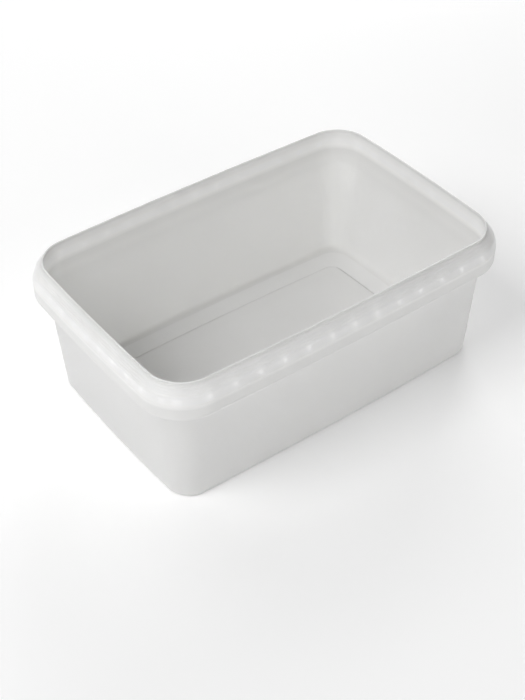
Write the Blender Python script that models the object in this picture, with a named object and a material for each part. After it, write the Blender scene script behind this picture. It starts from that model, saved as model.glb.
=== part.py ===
# Rectangular two-litre ice cream tub in thin translucent plastic, open at the top.
# Metres, +Z up. The origin is the middle of the base, on the surface that the tub stands on.
# X runs along the tub, Y across it. "Inset" is the distance in from the skirt's outer face.
import math

import bmesh
import bpy
from mathutils import Matrix, Vector

# Overall plan, taken at the skirt, and height.
HALF_LENGTH = 0.1100
HALF_WIDTH = 0.0716
RIM_CORNER_RADIUS = 0.0238
SIDE_BOW = 0.0018
HEIGHT = 0.0836

# Drafted wall, one skin thick, and the rounded edge where it meets the foot.
WALL_THICKNESS = 0.00085
WALL_DRAFT = 0.0668
BASE_INSET = 0.0110
BASE_CORNER_RADIUS = 0.0121
CORNER_GROWTH = 0.0745
FOOT_EDGE_RADIUS = 0.0025
INNER_FILLET = 0.0040

# Base: a flat foot band all round, and a middle panel pressed up inside it.
FLOOR_THICKNESS = 0.0011
PANEL_RISE = 0.0015
PANEL_INSET = 0.0281
PANEL_SLOPE = 0.0011
PANEL_CORNER_RADIUS = 0.0045

# Rim: one sheet folded over, as lip, sloping collar, shoulder, outer edge and skirt.
# "Drop" is the distance below the top of the lip.
LIP_INNER_INSET = 0.00648
LIP_OUTER_INSET = 0.00566
LIP_DEPTH = 0.0006
SHOULDER_INSET = 0.0013
SHOULDER_DROP = 0.0065
EDGE_DROP = 0.0104
SKIRT_DROP = 0.0190
SKIRT_THICKNESS = 0.0009
SKIRT_TAPER = 0.0002

# Hollow under the rim: the collar's underside, from the shoulder up to the wall.
UNDER_EDGE_DROP = 0.0107
UNDER_SHOULDER_INSET = 0.0021
UNDER_SHOULDER_DROP = 0.0070
HOLLOW_TOP_INSET = 0.0049
HOLLOW_TOP_DROP = 0.0032

# Stiffening ribs that fill the hollow between the wall and the skirt.
LONG_SIDE_RIBS = 13
LONG_SIDE_PITCH = 0.0144
SHORT_SIDE_RIBS = 9
SHORT_SIDE_PITCH = 0.0119
RIB_THICKNESS = 0.0008
RIB_MIDDLE_INSET = 0.0036
RIB_TOP_BITE = 0.0009
RIB_END_ABOVE_SKIRT = 0.0010

# Fineness of the rings.
CORNER_STEPS = 8
LONG_SIDE_STEPS = 6
SHORT_SIDE_STEPS = 4
FILLET_STEPS = 3
SMALLEST_CORNER_RADIUS = 0.002


def clear_scene():
    for item in list(bpy.data.objects):
        bpy.data.objects.remove(item)


def bowed(x, y, half_length, half_width):
    """Push a point outward so that each side swells towards its middle."""
    bow = SIDE_BOW * half_length / HALF_LENGTH
    along = 1.0 - (x / half_length) ** 2
    across = 1.0 - (y / half_width) ** 2
    return x + bow * across * x / half_length, y + bow * along * y / half_width


def plan_ring(inset, corner_radius, height):
    """One turn round the tub: a rounded rectangle with gently swelling sides."""
    half_length = HALF_LENGTH - inset
    half_width = HALF_WIDTH - inset
    centre_x = half_length - corner_radius
    centre_y = half_width - corner_radius
    corners = ((1, 1, 0), (-1, 1, 90), (-1, -1, 180), (1, -1, 270))
    arcs = []
    for side_x, side_y, start in corners:
        arc = []
        for step in range(CORNER_STEPS + 1):
            angle = math.radians(start + 90.0 * step / CORNER_STEPS)
            arc.append((side_x * centre_x + corner_radius * math.cos(angle),
                        side_y * centre_y + corner_radius * math.sin(angle)))
        arcs.append(arc)
    points = []
    for number, arc in enumerate(arcs):
        points.extend(arc)
        steps = LONG_SIDE_STEPS if number % 2 == 0 else SHORT_SIDE_STEPS
        (x0, y0), (x1, y1) = arc[-1], arcs[(number + 1) % 4][0]
        for step in range(1, steps):
            part = step / steps
            points.append((x0 + (x1 - x0) * part, y0 + (y1 - y0) * part))
    ring = []
    for x, y in points:
        x, y = bowed(x, y, half_length, half_width)
        ring.append(Vector((x, y, height)))
    return ring


def wall_inset(height):
    """Inset of the wall's outer face at a height."""
    return BASE_INSET - WALL_DRAFT * (height - FOOT_EDGE_RADIUS)


def wall_corner(height):
    """Corner radius of the wall's outer face, which grows towards the rim."""
    return BASE_CORNER_RADIUS + CORNER_GROWTH * height


def inside_stations():
    """Stations of the inner face, from the raised panel out to the lip."""
    floor = FLOOR_THICKNESS
    panel_foot = PANEL_INSET - PANEL_SLOPE
    stations = [
        (PANEL_INSET, PANEL_CORNER_RADIUS, floor + PANEL_RISE),
        (panel_foot, PANEL_CORNER_RADIUS + PANEL_SLOPE, floor),
    ]
    top_of_fillet = floor + INNER_FILLET
    wall = wall_inset(top_of_fillet) + WALL_THICKNESS
    for step in range(FILLET_STEPS + 1):
        angle = 0.5 * math.pi * step / FILLET_STEPS
        inset = wall + INNER_FILLET * (1.0 - math.sin(angle))
        height = floor + INNER_FILLET * (1.0 - math.cos(angle))
        corner = wall_corner(height) - (inset - wall_inset(height))
        stations.append((inset, corner, height))
    stations.append((LIP_INNER_INSET, RIM_CORNER_RADIUS - LIP_INNER_INSET, HEIGHT))
    return stations


def rim_stations():
    """Stations over the lip, down the collar to the skirt, and back up through the hollow."""
    skirt_inner = SKIRT_TAPER + SKIRT_THICKNESS
    pairs = [
        (LIP_OUTER_INSET, 0.0),
        (LIP_OUTER_INSET, LIP_DEPTH),
        (SHOULDER_INSET, SHOULDER_DROP),
        (0.0, EDGE_DROP),
        (SKIRT_TAPER, SKIRT_DROP),
        (skirt_inner, SKIRT_DROP),
        (SKIRT_THICKNESS, UNDER_EDGE_DROP),
        (UNDER_SHOULDER_INSET, UNDER_SHOULDER_DROP),
        (HOLLOW_TOP_INSET, HOLLOW_TOP_DROP),
        (wall_inset(HEIGHT - HOLLOW_TOP_DROP), HOLLOW_TOP_DROP),
    ]
    return [(inset, RIM_CORNER_RADIUS - inset, HEIGHT - drop) for inset, drop in pairs]


def outside_stations():
    """Stations of the outer face, from the wall round the foot to the hollow under the panel."""
    stations = []
    for step in range(FILLET_STEPS + 1):
        angle = 0.5 * math.pi * step / FILLET_STEPS
        inset = BASE_INSET + FOOT_EDGE_RADIUS * (1.0 - math.cos(angle))
        height = FOOT_EDGE_RADIUS * (1.0 - math.sin(angle))
        corner = wall_corner(height) - (inset - BASE_INSET)
        stations.append((inset, corner, height))
    foot_inner = PANEL_INSET - PANEL_SLOPE + FLOOR_THICKNESS
    foot_corner = PANEL_CORNER_RADIUS + PANEL_SLOPE - FLOOR_THICKNESS
    stations.append((foot_inner, foot_corner, 0.0))
    stations.append((foot_inner + PANEL_SLOPE, foot_corner - PANEL_SLOPE, PANEL_RISE))
    return stations


def loft(name, stations):
    """Join the rings in order and close the first and the last with a face."""
    shape = bmesh.new()
    rings = []
    for inset, corner, height in stations:
        corner = max(corner, SMALLEST_CORNER_RADIUS)
        ring = [shape.verts.new(point) for point in plan_ring(inset, corner, height)]
        rings.append(ring)
    count = len(rings[0])
    for lower, upper in zip(rings, rings[1:]):
        for number in range(count):
            following = (number + 1) % count
            shape.faces.new((lower[number], lower[following], upper[following], upper[number]))
    shape.faces.new(rings[0])
    shape.faces.new(rings[-1])
    bmesh.ops.recalc_face_normals(shape, faces=shape.faces)
    mesh = bpy.data.meshes.new(name)
    shape.to_mesh(mesh)
    shape.free()
    return bpy.data.objects.new(name, mesh)


def rib_places():
    """Middle of each rib's run and its outward direction, from one side round to the next."""
    half_length = HALF_LENGTH - RIB_MIDDLE_INSET
    half_width = HALF_WIDTH - RIB_MIDDLE_INSET
    corner = RIM_CORNER_RADIUS - RIB_MIDDLE_INSET
    places = []
    for number in range(LONG_SIDE_RIBS):
        x = (number - 0.5 * (LONG_SIDE_RIBS - 1)) * LONG_SIDE_PITCH
        places += [(x, half_width, 90.0), (x, -half_width, 270.0)]
    for number in range(SHORT_SIDE_RIBS):
        y = (number - 0.5 * (SHORT_SIDE_RIBS - 1)) * SHORT_SIDE_PITCH
        places += [(half_length, y, 0.0), (-half_length, y, 180.0)]
    for angle in (45.0, 135.0, 225.0, 315.0):
        across = math.copysign(half_length - corner, math.cos(math.radians(angle)))
        along = math.copysign(half_width - corner, math.sin(math.radians(angle)))
        places.append((across + corner * math.cos(math.radians(angle)),
                       along + corner * math.sin(math.radians(angle)), angle))
    result = []
    for x, y, angle in places:
        x, y = bowed(x, y, half_length, half_width)
        result.append((x, y, math.radians(angle)))
    return result


def rib_outline():
    """A rib's outline as insets and heights, each corner halfway into the sheet round it."""
    top = HEIGHT - HOLLOW_TOP_DROP + RIB_TOP_BITE
    bottom = HEIGHT - SKIRT_DROP + RIB_END_ABOVE_SKIRT
    shoulder_inset = 0.5 * (SHOULDER_INSET + UNDER_SHOULDER_INSET)
    shoulder_drop = 0.5 * (SHOULDER_DROP + UNDER_SHOULDER_DROP)
    return [
        (wall_inset(bottom) + 0.5 * WALL_THICKNESS, bottom),
        (wall_inset(top) + 0.5 * WALL_THICKNESS, top),
        (HOLLOW_TOP_INSET, top),
        (shoulder_inset, HEIGHT - shoulder_drop),
        (0.5 * SKIRT_THICKNESS, HEIGHT - EDGE_DROP),
        (SKIRT_TAPER + 0.5 * SKIRT_THICKNESS, bottom),
    ]


def make_ribs(collection):
    """Thin upright plates, each let into the wall, the collar and the skirt."""
    for number, (x, y, angle) in enumerate(rib_places()):
        shape = bmesh.new()
        corners = [shape.verts.new((RIB_MIDDLE_INSET - inset, -0.5 * RIB_THICKNESS, height))
                   for inset, height in rib_outline()]
        side = shape.faces.new(corners)
        grown = bmesh.ops.extrude_face_region(shape, geom=[side])
        moved = [item for item in grown["geom"] if isinstance(item, bmesh.types.BMVert)]
        bmesh.ops.translate(shape, verts=moved, vec=(0.0, RIB_THICKNESS, 0.0))
        bmesh.ops.recalc_face_normals(shape, faces=shape.faces)
        mesh = bpy.data.meshes.new(f"rib_{number:02d}")
        shape.to_mesh(mesh)
        shape.free()
        rib = bpy.data.objects.new(mesh.name, mesh)
        rib.matrix_world = Matrix.Translation((x, y, 0.0)) @ Matrix.Rotation(angle, 4, "Z")
        collection.objects.link(rib)


def plastic():
    """Milky polypropylene with a soft shine."""
    material = bpy.data.materials.new("milky_polypropylene")
    material.use_nodes = True
    surface = material.node_tree.nodes["Principled BSDF"]
    surface.inputs["Base Color"].default_value = (0.72, 0.71, 0.69, 1.0)
    surface.inputs["Roughness"].default_value = 0.38
    surface.inputs["Metallic"].default_value = 0.0
    material.diffuse_color = (0.72, 0.71, 0.69, 1.0)
    return material


def build():
    clear_scene()
    scene = bpy.context.scene
    parts = bpy.data.collections.new("ice_cream_tub")
    ribs = bpy.data.collections.new("ribs")
    scene.collection.children.link(parts)
    scene.collection.children.link(ribs)

    tub = loft("tub", inside_stations() + rim_stations() + outside_stations())
    tub.data.materials.append(plastic())
    parts.objects.link(tub)
    make_ribs(ribs)

    union = tub.modifiers.new("join_ribs", "BOOLEAN")
    union.operation = "UNION"
    union.solver = "EXACT"
    union.operand_type = "COLLECTION"
    union.collection = ribs
    bpy.context.view_layer.objects.active = tub
    bpy.ops.object.modifier_apply(modifier=union.name)
    for rib in list(ribs.objects):
        bpy.data.objects.remove(rib)
    bpy.data.collections.remove(ribs)

    tub.data.shade_smooth()
    tub.data.set_sharp_from_angle(angle=math.radians(35.0))


build()
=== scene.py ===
import math

import bmesh
import bpy
from mathutils import Matrix, Vector


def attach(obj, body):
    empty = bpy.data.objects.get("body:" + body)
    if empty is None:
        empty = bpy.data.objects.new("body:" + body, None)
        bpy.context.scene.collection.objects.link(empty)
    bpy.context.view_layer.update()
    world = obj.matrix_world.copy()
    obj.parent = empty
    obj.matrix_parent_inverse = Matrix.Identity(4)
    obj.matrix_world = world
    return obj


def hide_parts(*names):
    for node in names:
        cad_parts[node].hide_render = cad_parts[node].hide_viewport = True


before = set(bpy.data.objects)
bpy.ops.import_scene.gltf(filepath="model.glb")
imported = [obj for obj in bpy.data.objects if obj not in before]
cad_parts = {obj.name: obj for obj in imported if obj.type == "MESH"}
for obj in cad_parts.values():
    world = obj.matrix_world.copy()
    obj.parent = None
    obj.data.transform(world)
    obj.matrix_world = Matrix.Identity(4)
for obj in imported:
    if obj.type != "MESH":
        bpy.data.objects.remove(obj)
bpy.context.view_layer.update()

# The tub: one thin shell of milky polypropylene, injection moulded in one shot.
# Its wall leans outward to the rim and its sides swell a little towards their middles.
# The base stands on a flat foot band, with the middle panel pressed up inside it.
HALF_LENGTH = 0.1100
HALF_WIDTH = 0.0716
SIDE_BOW = 0.0018
HEIGHT = 0.0836
WALL_THICKNESS = 0.00085
WALL_DRAFT = 0.0668
BASE_INSET = 0.0110
BASE_CORNER_RADIUS = 0.0121
CORNER_GROWTH = 0.0745
SMALLEST_CORNER_RADIUS = 0.0004
FOOT_EDGE_RADIUS = 0.0025
INNER_FILLET = 0.0040
FLOOR_THICKNESS = 0.0011
PANEL_RISE = 0.0015
PANEL_INSET = 0.0281
PANEL_SLOPE = 0.0022
PANEL_CORNER_RADIUS = 0.0045
PANEL_INNER_STEP = 0.003
PANEL_INNER_RADIUS = 0.0005

# The rim is the same sheet folded over: lip, sloping collar, shoulder, outer edge and skirt.
# A "drop" is a distance below the top of the lip.
LIP_INNER_INSET = 0.00648
LIP_OUTER_INSET = 0.00566
LIP_DEPTH = 0.0006
LIP_ROUNDING = 0.00025
SHOULDER_INSET = 0.0013
SHOULDER_DROP = 0.0065
SHOULDER_ROUNDING = 0.0005
COLLAR_LINES = 5
COLLAR_LINE_START = 0.75
COLLAR_LINE_HEIGHT = 0.00008
COLLAR_LINE_SPREAD = 0.0005
EDGE_DROP = 0.0104
SKIRT_DROP = 0.0190
SKIRT_THICKNESS = 0.0009
SKIRT_TAPER = 0.0002
SKIRT_BEAD = 0.0014
BEAD_TOP_SLOPE = 0.0003
BEAD_TOP_FALL = 0.0001
BEAD_REACH = 0.00012
BEAD_FOOT_REACH = 0.00005
UNDER_EDGE_DROP = 0.0107
UNDER_SHOULDER_INSET = 0.0021
UNDER_SHOULDER_DROP = 0.0070
HOLLOW_TOP_INSET = 0.0049
HOLLOW_TOP_DROP = 0.0032
FINE_ROUNDING = 0.0003
SOFT_ROUNDING = 0.0004
HIDDEN_ROUNDING = 0.0006

CORNER_STEPS = 20
LONG_SIDE_STEPS = 24
SHORT_SIDE_STEPS = 16
ROUNDING_STEPS = 4
ROUNDING_SHARE = 0.48
SKIRT_FOOT_REACH = 0.002
SHARP_ANGLE = 50.0


def wall_inset(height):
    """Inset of the wall's outer face at a height."""
    return BASE_INSET - WALL_DRAFT * (height - FOOT_EDGE_RADIUS)


def plan_corner(inset, height):
    """Corner radius in plan, which grows towards the rim and shrinks inward."""
    return BASE_CORNER_RADIUS + CORNER_GROWTH * height - inset + wall_inset(height)


def bowed(x, y, half_length, half_width):
    """Push a point outward so that each side swells towards its middle."""
    bow = SIDE_BOW * half_length / HALF_LENGTH
    along = 1.0 - (x / half_length) ** 2
    across = 1.0 - (y / half_width) ** 2
    return x + bow * across * x / half_length, y + bow * along * y / half_width


def plan_ring(inset, corner, height):
    """One turn round the tub at an inset: a rounded rectangle with swelling sides."""
    half_length = HALF_LENGTH - inset
    half_width = HALF_WIDTH - inset
    arcs = []
    for side_x, side_y, start in ((1, 1, 0), (-1, 1, 90), (-1, -1, 180), (1, -1, 270)):
        arc = []
        for step in range(CORNER_STEPS + 1):
            angle = math.radians(start + 90.0 * step / CORNER_STEPS)
            arc.append((side_x * (half_length - corner) + corner * math.cos(angle),
                        side_y * (half_width - corner) + corner * math.sin(angle)))
        arcs.append(arc)
    ring = []
    for number, arc in enumerate(arcs):
        steps = LONG_SIDE_STEPS if number % 2 == 0 else SHORT_SIDE_STEPS
        (x0, y0), (x1, y1) = arc[-1], arcs[(number + 1) % 4][0]
        side = [(x0 + (x1 - x0) * k / steps, y0 + (y1 - y0) * k / steps) for k in range(1, steps)]
        ring += [Vector((*bowed(x, y, half_length, half_width), height)) for x, y in arc + side]
    return ring


def softened(corners):
    """Round each corner (inset, height, plan corner, radius) of the section into a short arc."""
    points = []
    for number, (inset, height, plan, radius) in enumerate(corners):
        here = Vector((inset, height, plan))
        if radius == 0.0:
            points.append(here)
            continue
        before = Vector(corners[number - 1][:3]) - here
        after = Vector(corners[number + 1][:3]) - here
        turn = math.pi - before.xy.angle(after.xy)
        reach = radius * math.tan(0.5 * turn)
        start = here + before * min(ROUNDING_SHARE, reach / before.xy.length)
        end = here + after * min(ROUNDING_SHARE, reach / after.xy.length)
        for step in range(ROUNDING_STEPS + 1):
            t = step / ROUNDING_STEPS
            points.append((1 - t) ** 2 * start + 2 * t * (1 - t) * here + t ** 2 * end)
    return points


def tub_section():
    """The wall's cross-section, from the panel's inner edge over the rim to its underside."""
    floor = FLOOR_THICKNESS
    skirt_foot = HEIGHT - SKIRT_DROP
    hollow_top = HEIGHT - HOLLOW_TOP_DROP
    panel_foot = PANEL_INSET - PANEL_SLOPE
    panel_foot_corner = PANEL_CORNER_RADIUS + PANEL_SLOPE
    inner_wall = wall_inset(floor) + WALL_THICKNESS
    corners = [
        (PANEL_INSET + PANEL_INNER_STEP, floor + PANEL_RISE,
         PANEL_CORNER_RADIUS - PANEL_INNER_STEP, 0.0),
        (PANEL_INSET, floor + PANEL_RISE, PANEL_CORNER_RADIUS, FINE_ROUNDING),
        (panel_foot, floor, panel_foot_corner, SOFT_ROUNDING),
        (inner_wall, floor, plan_corner(inner_wall, floor), INNER_FILLET),
    ]

    def add(inset, height, radius):
        corners.append((inset, height, plan_corner(inset, height), radius))

    # Up the inside of the wall and over the lip.
    for part in (0.2, 0.4, 0.6, 0.8):
        height = HEIGHT * part
        add(wall_inset(height) + WALL_THICKNESS, height, 0.0)
    add(LIP_INNER_INSET, HEIGHT, LIP_ROUNDING)
    add(LIP_OUTER_INSET, HEIGHT, FINE_ROUNDING)
    add(LIP_OUTER_INSET, HEIGHT - LIP_DEPTH, SOFT_ROUNDING)

    # Down the collar, with its fine raised lines.
    lip_foot = Vector((LIP_OUTER_INSET, HEIGHT - LIP_DEPTH))
    shoulder = Vector((SHOULDER_INSET, HEIGHT - SHOULDER_DROP))
    along = (shoulder - lip_foot).normalized()
    outward = Vector((along.y, -along.x))
    pitch = (shoulder - lip_foot).length / (COLLAR_LINES + 0.5)
    for line in range(COLLAR_LINES):
        crest = lip_foot + along * pitch * (line + COLLAR_LINE_START)
        add(*(crest - along * COLLAR_LINE_SPREAD), FINE_ROUNDING)
        add(*(crest + outward * COLLAR_LINE_HEIGHT), FINE_ROUNDING)
        add(*(crest + along * COLLAR_LINE_SPREAD), FINE_ROUNDING)
    add(SHOULDER_INSET, HEIGHT - SHOULDER_DROP, SHOULDER_ROUNDING)
    add(0.0, HEIGHT - EDGE_DROP, FINE_ROUNDING)

    # Down the skirt to the faint bead at its foot, and back up through the hollow.
    add(SKIRT_TAPER, skirt_foot + SKIRT_BEAD + BEAD_TOP_SLOPE, FINE_ROUNDING)
    add(SKIRT_TAPER - BEAD_REACH, skirt_foot + SKIRT_BEAD - BEAD_TOP_FALL, FINE_ROUNDING)
    add(SKIRT_TAPER - BEAD_FOOT_REACH, skirt_foot, SOFT_ROUNDING)
    add(SKIRT_TAPER + SKIRT_THICKNESS, skirt_foot, FINE_ROUNDING)
    add(SKIRT_THICKNESS, HEIGHT - UNDER_EDGE_DROP, SOFT_ROUNDING)
    add(UNDER_SHOULDER_INSET, HEIGHT - UNDER_SHOULDER_DROP, HIDDEN_ROUNDING)
    add(HOLLOW_TOP_INSET, hollow_top, FINE_ROUNDING)
    add(wall_inset(hollow_top), hollow_top, FINE_ROUNDING)

    # Down the outside of the wall and in under the base.
    for part in (0.6, 0.4, 0.2):
        add(wall_inset(HEIGHT * part), HEIGHT * part, 0.0)
    add(wall_inset(0.0), 0.0, FOOT_EDGE_RADIUS)
    foot_inner = panel_foot + FLOOR_THICKNESS
    under_corner = PANEL_CORNER_RADIUS - FLOOR_THICKNESS
    corners += [
        (foot_inner, 0.0, panel_foot_corner - FLOOR_THICKNESS, HIDDEN_ROUNDING),
        (foot_inner + PANEL_SLOPE, PANEL_RISE, under_corner, HIDDEN_ROUNDING),
        (foot_inner + PANEL_SLOPE + PANEL_INNER_STEP, PANEL_RISE, PANEL_INNER_RADIUS, 0.0),
    ]
    return softened(corners)


def lofted(name, section):
    """Carry a section round the plan, and close the panel's top and underside.

    Faces in the hollow of the rim take the second material, the copy with a painted glow.
    """
    shape = bmesh.new()
    rings = [[shape.verts.new(point)
              for point in plan_ring(inset, max(plan, SMALLEST_CORNER_RADIUS), height)]
             for inset, height, plan in section]
    count = len(rings[0])
    near_edge = [place for place, point in enumerate(section) if point[0] < SKIRT_FOOT_REACH]
    skirt_ring = min(near_edge, key=lambda place: section[place][1]) + 1
    wall_ring = next(place for place in range(skirt_ring, len(section))
                     if section[place][0] > HOLLOW_TOP_INSET)
    for place, (one, other) in enumerate(zip(rings, rings[1:])):
        in_hollow = skirt_ring <= place < wall_ring
        for number in range(count):
            following = (number + 1) % count
            face = shape.faces.new((one[number], one[following], other[following], other[number]))
            face.material_index = int(in_hollow)
    shape.faces.new(rings[0])
    shape.faces.new(rings[-1])
    bmesh.ops.recalc_face_normals(shape, faces=shape.faces)
    mesh = bpy.data.meshes.new(name)
    shape.to_mesh(mesh)
    shape.free()
    mesh.shade_smooth()
    mesh.set_sharp_from_angle(angle=math.radians(SHARP_ANGLE))
    made = bpy.data.objects.new(name, mesh)
    bpy.context.scene.collection.objects.link(made)
    return made


# The base colour is the plastic's own in the single wall, and is painted paler as light where the
# sheets are doubled: more in the skirt, most along the shoulder.
# The top of the lip is painted darker as a dark reflection, and the ribs show as small painted
# highlights.
PALE_CLOUD = (0.985, 0.982, 0.970, 1.0)
DEEP_CLOUD = (0.965, 0.962, 0.950, 1.0)
CLOUD_SCALE = 22.0
CLOUD_DETAIL = 3.0
CLOUD_RANGE = (0.35, 0.65)
PALENESS_WITH_PAINTED_LIGHT_BY_DROP = (
    (0.0220, 0.81),
    (0.0175, 0.85),
    (0.0125, 0.84),
    (0.0092, 1.0),
    (0.0058, 1.0),
    (0.0024, 0.95),
    (0.0010, 0.82),
)
GLOW_BY_DROP = (
    (0.0125, 0.0),
    (0.0104, 0.034),
    (0.0065, 0.040),
    (0.0035, 0.014),
    (0.0012, 0.0),
)
PAINTED_LIGHT_SPAN = 0.024
HOLLOW_GLOW = 0.19

# Each rib's painted highlight, a glow over the shoulder: how far apart, how wide and tall, how far in
# from the rim, how bright.
LONG_SIDE_PITCH = 0.0144
SHORT_SIDE_PITCH = 0.0119
RIB_HIGHLIGHT_DROP = 0.0078
RIB_HIGHLIGHT_WIDTH = (0.0006, 0.0018)
RIB_HIGHLIGHT_HEIGHT = (0.0004, 0.0014)
RIB_HIGHLIGHT_INSET = 0.0096
RIB_HIGHLIGHT_FADE = 0.0006
RIB_HIGHLIGHT_GLOW = 0.10

# Heights and half sizes over which the painted shade of the base's lines and the painted light of the
# foot band come and go.
PANEL_LINE_FOOT = (0.00115, 0.00135)
PANEL_LINE_TOP = (0.00235, 0.00255)
PANEL_HALF_LENGTH = (0.0865, 0.0875)
PANEL_HALF_WIDTH = (0.0490, 0.0500)
PANEL_LINE_SHADE = 0.07
FOOT_BAND_HEIGHT = (0.00005, 0.00012)
FOOT_BAND_PAINTED_LIGHT = 0.05
FOOT_EDGE_FOOT = (0.0001, 0.0003)
FOOT_EDGE_TOP = (0.0008, 0.0010)
FOOT_EDGE_SHADE = 0.35

# How the surface shines and how far light wanders inside the plastic.
ROUGHNESS_CLOUDS = (0.3, 0.7)
ROUGHNESS = (0.30, 0.38)
GRAIN_SCALE = 900.0
GRAIN_DETAIL = 2.0
GRAIN_STRENGTH = 0.05
GRAIN_HEIGHT = 0.0002
REFRACTION = 1.49
SCATTER_BY_COLOUR = (1.0, 1.0, 0.97)
SCATTER_DEPTH = 0.003


def milky_plastic(name, glow):
    """Milky polypropylene: faint moulding clouds and a fine grain, with painted light over the doubled
    rim and the foot band, and painted shade at the lip top, the base's lines and the standing edge.

    The glow stands for the light that the folded rim holds between its sheets.
    """
    material = bpy.data.materials.new(name)
    material.use_nodes = True
    nodes, links = material.node_tree.nodes, material.node_tree.links
    surface = nodes["Principled BSDF"]
    position = nodes.new("ShaderNodeTexCoord").outputs["Object"]
    axes = nodes.new("ShaderNodeSeparateXYZ")
    links.new(position, axes.inputs["Vector"])
    x, y, z = (axes.outputs[axis] for axis in "XYZ")

    def maths(operation, *values):
        """The result of a sum on plain numbers and other results."""
        node = nodes.new("ShaderNodeMath")
        node.operation = operation
        for socket, value in zip(node.inputs, values):
            if isinstance(value, (int, float)):
                socket.default_value = value
            else:
                links.new(value, socket)
        return node.outputs["Value"]

    def ranged(value, span, to_low=0.0, to_high=1.0):
        """A soft step from one number to another as a value crosses a span."""
        node = nodes.new("ShaderNodeMapRange")
        node.interpolation_type = "SMOOTHSTEP"
        for socket, number in (("From Min", span[0]), ("From Max", span[1]),
                               ("To Min", to_low), ("To Max", to_high)):
            node.inputs[socket].default_value = number
        links.new(value, node.inputs["Value"])
        return node.outputs["Result"]

    def noise(scale, detail):
        """Soft random clouds that stay on the surface."""
        node = nodes.new("ShaderNodeTexNoise")
        node.inputs["Scale"].default_value = scale
        node.inputs["Detail"].default_value = detail
        links.new(position, node.inputs["Vector"])
        return node.outputs["Fac"]

    clouds = noise(CLOUD_SCALE, CLOUD_DETAIL)
    tint = nodes.new("ShaderNodeValToRGB")
    for element, place, colour in zip(tint.color_ramp.elements, CLOUD_RANGE, (DEEP_CLOUD, PALE_CLOUD)):
        element.position = place
        element.color = colour
    links.new(clouds, tint.inputs["Fac"])

    height = maths("DIVIDE", maths("SUBTRACT", z, HEIGHT - PAINTED_LIGHT_SPAN), PAINTED_LIGHT_SPAN)

    def by_drop(table):
        """A level that changes with the distance below the top of the lip."""
        node = nodes.new("ShaderNodeValToRGB")
        ramp = node.color_ramp
        while len(ramp.elements) < len(table):
            ramp.elements.new(0.5)
        for element, (drop, value) in zip(ramp.elements, table):
            element.position = 1.0 - drop / PAINTED_LIGHT_SPAN
            element.color = (value, value, value, 1.0)
        links.new(height, node.inputs["Fac"])
        return node.outputs["Color"]

    # Painted glow standing for the light held in the rim, with a painted highlight over each rib.
    rib_highlights = []
    for run, pitch, across, half_size in ((x, LONG_SIDE_PITCH, y, HALF_WIDTH),
                                          (y, SHORT_SIDE_PITCH, x, HALF_LENGTH)):
        edge = half_size - RIB_HIGHLIGHT_INSET
        near_rib = maths("ABSOLUTE", maths("WRAP", run, 0.5 * pitch, -0.5 * pitch))
        on_rib = ranged(near_rib, RIB_HIGHLIGHT_WIDTH, 1.0, 0.0)
        at_side = ranged(maths("ABSOLUTE", across), (edge, edge + RIB_HIGHLIGHT_FADE))
        rib_highlights.append(maths("MULTIPLY", on_rib, at_side))
    from_mark = maths("ABSOLUTE", maths("SUBTRACT", z, HEIGHT - RIB_HIGHLIGHT_DROP))
    rib_highlight = maths("MULTIPLY", maths("MAXIMUM", *rib_highlights),
                 ranged(from_mark, RIB_HIGHLIGHT_HEIGHT, RIB_HIGHLIGHT_GLOW, 0.0))
    held_light = maths("ADD", by_drop(GLOW_BY_DROP), rib_highlight)
    links.new(maths("ADD", held_light, glow), surface.inputs["Emission Strength"])
    surface.inputs["Emission Color"].default_value = PALE_CLOUD

    # Painted shade deepens the line round the panel and the standing edge, and painted light makes the
    # foot band paler.
    crease = maths("MULTIPLY", ranged(z, PANEL_LINE_FOOT), ranged(z, PANEL_LINE_TOP, 1.0, 0.0))
    by_panel = maths("MULTIPLY", ranged(maths("ABSOLUTE", x), PANEL_HALF_LENGTH, 1.0, 0.0),
                     ranged(maths("ABSOLUTE", y), PANEL_HALF_WIDTH, 1.0, 0.0))
    panel_line = maths("MULTIPLY", maths("MULTIPLY", crease, by_panel), PANEL_LINE_SHADE)
    from_band = maths("ABSOLUTE", maths("SUBTRACT", z, FLOOR_THICKNESS))
    foot_band = ranged(from_band, FOOT_BAND_HEIGHT, FOOT_BAND_PAINTED_LIGHT, 0.0)
    foot_edge = maths("MULTIPLY", ranged(z, FOOT_EDGE_FOOT),
                      ranged(z, FOOT_EDGE_TOP, FOOT_EDGE_SHADE, 0.0))
    level = maths("SUBTRACT", by_drop(PALENESS_WITH_PAINTED_LIGHT_BY_DROP), maths("ADD", panel_line, foot_edge))
    level = maths("ADD", level, foot_band)
    colour = nodes.new("ShaderNodeVectorMath")
    colour.operation = "SCALE"
    links.new(tint.outputs["Color"], colour.inputs[0])
    links.new(level, colour.inputs["Scale"])
    links.new(colour.outputs["Vector"], surface.inputs["Base Color"])

    # A soft shine that varies with the clouds, over a fine moulded grain.
    links.new(ranged(clouds, ROUGHNESS_CLOUDS, *ROUGHNESS), surface.inputs["Roughness"])
    bump = nodes.new("ShaderNodeBump")
    bump.inputs["Strength"].default_value = GRAIN_STRENGTH
    bump.inputs["Distance"].default_value = GRAIN_HEIGHT
    links.new(noise(GRAIN_SCALE, GRAIN_DETAIL), bump.inputs["Height"])
    links.new(bump.outputs["Normal"], surface.inputs["Normal"])
    surface.inputs["IOR"].default_value = REFRACTION
    surface.inputs["Subsurface Weight"].default_value = 1.0
    surface.inputs["Subsurface Radius"].default_value = SCATTER_BY_COLOUR
    surface.inputs["Subsurface Scale"].default_value = SCATTER_DEPTH
    return material


plastic = milky_plastic("milky_polypropylene", 0.0)
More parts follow.
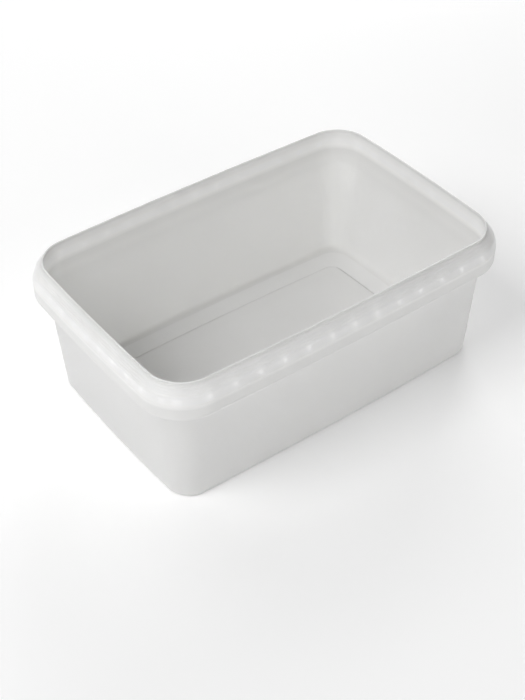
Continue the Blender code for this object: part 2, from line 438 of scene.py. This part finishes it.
# The second copy of the plastic carries a painted glow, standing for light held in the hollow of the
# rim.
glowing_hollow_plastic = milky_plastic("milky_polypropylene_glowing_in_the_rim", HOLLOW_GLOW)
tub = lofted("tub_shell", tub_section())
tub.data.materials.append(plastic)
tub.data.materials.append(glowing_hollow_plastic)
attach(tub, "root")
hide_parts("tub")

# The ribs: thin upright plates of the same shot, in the hollow between the wall and the rim.
# They stiffen the skirt; the faint paler marks over them are painted highlights in the plastic, and
# the ribs take the copy with a painted glow.
LONG_SIDE_RIBS = 13
SHORT_SIDE_RIBS = 9
RIB_THICKNESS = 0.0008
RIB_MIDDLE_INSET = 0.0036
RIB_TOP_BITE = 0.0009
RIB_END_ABOVE_SKIRT = 0.0010
RIB_EDGE_ROUNDING = 0.00012
RIB_EDGE_STEPS = 2


def rib_places():
    """Middle of each rib's run and its outward direction in degrees."""
    half_length, half_width = HALF_LENGTH - RIB_MIDDLE_INSET, HALF_WIDTH - RIB_MIDDLE_INSET
    corner = plan_corner(RIB_MIDDLE_INSET, HEIGHT - SHOULDER_DROP)
    diagonal = corner * math.sqrt(0.5)
    places = []
    for number in range(LONG_SIDE_RIBS):
        x = (number - 0.5 * (LONG_SIDE_RIBS - 1)) * LONG_SIDE_PITCH
        places += [(x, half_width, 90.0), (x, -half_width, 270.0)]
    for number in range(SHORT_SIDE_RIBS):
        y = (number - 0.5 * (SHORT_SIDE_RIBS - 1)) * SHORT_SIDE_PITCH
        places += [(half_length, y, 0.0), (-half_length, y, 180.0)]
    for side_x, side_y, angle in ((1, 1, 45.0), (-1, 1, 135.0), (-1, -1, 225.0), (1, -1, 315.0)):
        places.append((side_x * (half_length - corner + diagonal),
                       side_y * (half_width - corner + diagonal), angle))
    return [(*bowed(x, y, half_length, half_width), angle) for x, y, angle in places]


def rib_outline():
    """A rib's outline as insets and heights, each corner halfway into the sheet round it."""
    top = HEIGHT - HOLLOW_TOP_DROP + RIB_TOP_BITE
    bottom = HEIGHT - SKIRT_DROP + RIB_END_ABOVE_SKIRT
    return (
        (wall_inset(bottom) + 0.5 * WALL_THICKNESS, bottom),
        (wall_inset(top) + 0.5 * WALL_THICKNESS, top),
        (HOLLOW_TOP_INSET, top),
        (0.5 * (SHOULDER_INSET + UNDER_SHOULDER_INSET),
         HEIGHT - 0.5 * (SHOULDER_DROP + UNDER_SHOULDER_DROP)),
        (0.5 * SKIRT_THICKNESS, HEIGHT - EDGE_DROP),
        (SKIRT_TAPER + 0.5 * SKIRT_THICKNESS, bottom),
    )


def rib_set(name):
    """All the ribs as one mesh of plates with softened edges."""
    shape = bmesh.new()
    for x, y, angle in rib_places():
        place = Matrix.Translation((x, y, 0.0)) @ Matrix.Rotation(math.radians(angle), 4, "Z")
        corners = [shape.verts.new(place @ Vector((RIB_MIDDLE_INSET - inset, -0.5 * RIB_THICKNESS, z)))
                   for inset, z in rib_outline()]
        side = shape.faces.new(corners)
        grown = bmesh.ops.extrude_face_region(shape, geom=[side])["geom"]
        far = [item for item in grown if isinstance(item, bmesh.types.BMVert)]
        across = place.to_3x3() @ Vector((0.0, RIB_THICKNESS, 0.0))
        bmesh.ops.translate(shape, verts=far, vec=across)
        edges = list(dict.fromkeys(edge for vertex in corners + far for edge in vertex.link_edges))
        bmesh.ops.bevel(shape, geom=edges, offset=RIB_EDGE_ROUNDING, segments=RIB_EDGE_STEPS,
                        affect="EDGES")
    bmesh.ops.recalc_face_normals(shape, faces=shape.faces)
    mesh = bpy.data.meshes.new(name)
    shape.to_mesh(mesh)
    shape.free()
    made = bpy.data.objects.new(name, mesh)
    bpy.context.scene.collection.objects.link(made)
    return made


ribs = rib_set("rim_ribs")
ribs.data.materials.append(glowing_hollow_plastic)
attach(ribs, "root")
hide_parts("tub")

# The studio: a plain white table and large soft boxes, the strongest on the left.
# The low one behind the far corner shines through the far walls.
FLOOR_SIZE = 60.0
FLOOR_COLOUR = (0.93, 0.93, 0.93, 1.0)
FLOOR_ROUGHNESS = 0.9
FLOOR_GLOW = 0.24
LIGHT_SIZE = 0.8
LIGHT_DISTANCE = 1.4
LIGHT_AIM = Vector((0.0, 0.0, 0.04))
SOFT_BOXES = (
    ("soft_box_left", 178.0, 50.0, 11.6),
    ("soft_box_near_left", 225.0, 50.0, 0.9),
    ("soft_box_front", 270.0, 20.0, 3.8),
    ("soft_box_behind", 45.0, 20.0, 10.1),
    ("soft_box_far_side", 90.0, 50.0, 2.5),
)


def white_floor():
    """A plain white table top that runs on to the horizon."""
    bpy.ops.mesh.primitive_plane_add(size=FLOOR_SIZE, location=(0.0, 0.0, 0.0))
    floor = bpy.context.object
    floor.name = "floor"
    material = bpy.data.materials.new("white_table")
    material.use_nodes = True
    surface = material.node_tree.nodes["Principled BSDF"]
    surface.inputs["Base Color"].default_value = FLOOR_COLOUR
    surface.inputs["Roughness"].default_value = FLOOR_ROUGHNESS
    surface.inputs["Emission Color"].default_value = (1.0, 1.0, 1.0, 1.0)
    surface.inputs["Emission Strength"].default_value = FLOOR_GLOW
    floor.data.materials.append(material)
    return floor


def soft_light(name, azimuth, elevation, power):
    """A square soft box that faces the tub."""
    azimuth, elevation = math.radians(azimuth), math.radians(elevation)
    out = Vector((math.cos(azimuth) * math.cos(elevation),
                  math.sin(azimuth) * math.cos(elevation),
                  math.sin(elevation)))
    data = bpy.data.lights.new(name, "AREA")
    data.size = LIGHT_SIZE
    data.energy = power
    light = bpy.data.objects.new(name, data)
    light.location = LIGHT_AIM + out * LIGHT_DISTANCE
    light.rotation_euler = out.to_track_quat("Z", "Y").to_euler()
    bpy.context.scene.collection.objects.link(light)


white_floor()
for soft_box in SOFT_BOXES:
    soft_light(*soft_box)

bpy.context.scene.view_settings.view_transform = "Standard"

# The camera: the photograph's own angle, looking down on the near left corner.
CAMERA_AZIMUTH = math.radians(-36.35)
CAMERA_ELEVATION = math.radians(41.448)
CAMERA_ROLL = math.radians(-0.557)
CAMERA_DISTANCE = 0.77042
CAMERA_AIM = Vector((0.00305, 0.00930, 0.0))
SENSOR_WIDTH = 36.0
FOCAL_LENGTH = 69.88

back = Vector((math.sin(CAMERA_AZIMUTH) * math.cos(CAMERA_ELEVATION),
               -math.cos(CAMERA_AZIMUTH) * math.cos(CAMERA_ELEVATION),
               math.sin(CAMERA_ELEVATION)))
right = Vector((math.cos(CAMERA_AZIMUTH), math.sin(CAMERA_AZIMUTH), 0.0))
up = back.cross(right)
right, up = (right * math.cos(CAMERA_ROLL) + up * math.sin(CAMERA_ROLL),
             up * math.cos(CAMERA_ROLL) - right * math.sin(CAMERA_ROLL))
turned = Matrix((right, up, back)).transposed().to_4x4()
lens = bpy.data.cameras.new("camera")
lens.sensor_width = SENSOR_WIDTH
lens.lens = FOCAL_LENGTH
camera = bpy.data.objects.new("camera", lens)
camera.matrix_world = Matrix.Translation(CAMERA_AIM + back * CAMERA_DISTANCE) @ turned
bpy.context.scene.collection.objects.link(camera)
bpy.context.scene.camera = camera
